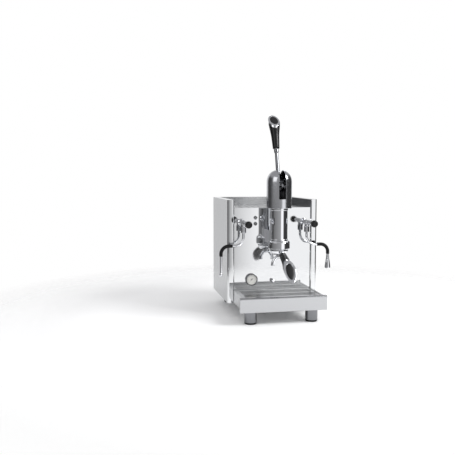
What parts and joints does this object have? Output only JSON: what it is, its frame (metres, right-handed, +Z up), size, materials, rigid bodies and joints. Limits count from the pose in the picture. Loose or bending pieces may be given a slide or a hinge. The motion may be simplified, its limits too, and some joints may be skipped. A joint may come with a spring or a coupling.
{
  "type": "espresso machine",
  "caption": "Single-group spring-lever espresso machine with a boxy steel body, two swivel wands, a filter holder, pressure gauge, drip tray and cup tray.",
  "frame": {"origin": "middle of the machine's bounding box on the worktop, under the feet", "axes": "+Z up, -Y the front that the user faces, +X to the right of someone facing the machine"},
  "size_m": [0.3979, 0.5269, 0.7008],
  "materials": {
    "polished_steel": "mirror polished",
    "brushed_steel": "fine brushed",
    "chrome": "bright chrome",
    "black_plastic": "satin black",
    "black_rubber": "matt black",
    "spring_steel": "plain steel",
    "copper": "drawn copper",
    "clear_plastic": "translucent",
    "dial_white": "printed dial",
    "lamp_lens": "clear lens in a metal bezel",
    "gauge_glass": "clear glass"
  },
  "bodies": {
    "machine": {"side_panel_left": "polished_steel", "side_panel_right": "polished_steel", "front_panel": "polished_steel", "rear_panel": "polished_steel", "base_pan": "brushed_steel", "foot_front_left": "brushed_steel", "foot_front_right": "brushed_steel", "foot_rear_left": "brushed_steel", "foot_rear_right": "brushed_steel", "foot_pad_front_left": "black_rubber", "foot_pad_front_right": "black_rubber", "foot_pad_rear_left": "black_rubber", "foot_pad_rear_right": "black_rubber", "group_neck": "chrome", "group_bell": "chrome", "group_gasket": "black_rubber", "shower_screen": "brushed_steel", "spring_housing": "chrome", "main_spring": "spring_steel", "fork": "spring_steel", "fork_cover": "polished_steel", "water_valve": "chrome", "steam_valve": "chrome", "water_wand_nut": "chrome", "steam_wand_nut": "chrome", "gauge_case": "chrome", "gauge_dial": "dial_white", "gauge_glass": "gauge_glass", "lamp_lower": "lamp_lens", "lamp_upper": "lamp_lens", "boiler": "copper", "heating_element": "spring_steel", "water_tank": "clear_plastic", "pump": "black_plastic", "mains_inlet": "black_plastic"},
    "piston": {"piston": "spring_steel", "piston_seal": "black_rubber"},
    "lever": {"lever_head": "chrome", "roller_shaft": "spring_steel", "lever_rod": "chrome", "lever_grip": "black_plastic", "lever_cap": "chrome"},
    "filter_holder": {"portafilter_body": "chrome", "filter_basket": "brushed_steel", "portafilter_spout": "chrome", "portafilter_grip": "black_plastic", "portafilter_cap": "chrome"},
    "water_knob": {"water_knob": "black_plastic"},
    "steam_knob": {"steam_knob": "black_plastic"},
    "water_wand": {"water_wand": "chrome", "water_wand_grip": "black_rubber"},
    "steam_wand": {"steam_wand": "chrome", "steam_wand_grip": "black_rubber", "steam_tip": "chrome"},
    "drip_tray": {"drip_tray_basin": "brushed_steel", "drip_tray_front": "brushed_steel"},
    "drip_grate": {"drip_grate": "brushed_steel"},
    "cup_tray": {"cup_tray": "brushed_steel"},
    "power_button": {"power_button": "chrome"},
    "gauge_needle": {"gauge_needle": "black_plastic"}
  },
  "joints": [
    {"name": "piston_slide", "type": "slide", "parent": "machine", "child": "piston", "axis": [0, 0, 1], "range_m": [0, 0.03903], "stiffness_N_per_m": 2000, "springref_m": -0.01, "deforming": ["main_spring"]},
    {"name": "lever_hinge", "type": "hinge", "parent": "piston", "child": "lever", "pos_m": [0, -0.1013, 0.447], "axis": [1, 0, 0], "range_deg": [0, 125]},
    {"name": "filter_holder_lock", "type": "hinge", "parent": "machine", "child": "filter_holder", "pos_m": [0, -0.1013, 0.244], "axis": [0, 0, -1], "range_deg": [0, 50]},
    {"name": "water_knob_turn", "type": "hinge", "parent": "machine", "child": "water_knob", "pos_m": [-0.113, -0.0203, 0.33], "axis": [0, -1, 0], "range_deg": [0, 540]},
    {"name": "steam_knob_turn", "type": "hinge", "parent": "machine", "child": "steam_knob", "pos_m": [0.113, -0.0203, 0.33], "axis": [0, -1, 0], "range_deg": [0, 540]},
    {"name": "water_wand_swivel", "type": "hinge", "parent": "machine", "child": "water_wand", "pos_m": [-0.113, -0.0573, 0.3071], "axis": [0, 0, 1], "range_deg": [-15, 110]},
    {"name": "steam_wand_swivel", "type": "hinge", "parent": "machine", "child": "steam_wand", "pos_m": [0.113, -0.0573, 0.3071], "axis": [0, 0, -1], "range_deg": [-15, 110]},
    {"name": "drip_tray_slide", "type": "slide", "parent": "machine", "child": "drip_tray", "axis": [0, -1, 0], "range_m": [0, 0.15]},
    {"name": "drip_grate_lift", "type": "slide", "parent": "drip_tray", "child": "drip_grate", "axis": [0, 0, 1], "range_m": [0, 0.02]},
    {"name": "cup_tray_lift", "type": "slide", "parent": "machine", "child": "cup_tray", "axis": [0, 0, 1], "range_m": [0, 0.06]},
    {"name": "power_button_press", "type": "slide", "parent": "machine", "child": "power_button", "axis": [0, 1, 0], "range_m": [0, 0.003], "stiffness_N_per_m": 600, "springref_m": -0.001},
    {"name": "gauge_needle_turn", "type": "hinge", "parent": "machine", "child": "gauge_needle", "pos_m": [-0.076, -0.0203, 0.128], "axis": [0, 1, 0], "range_deg": [0, 270]}
  ],
  "couplings": [
    {"joint": "piston_slide", "follows": "lever_hinge", "m_per_rad": 0.017889}
  ]
}
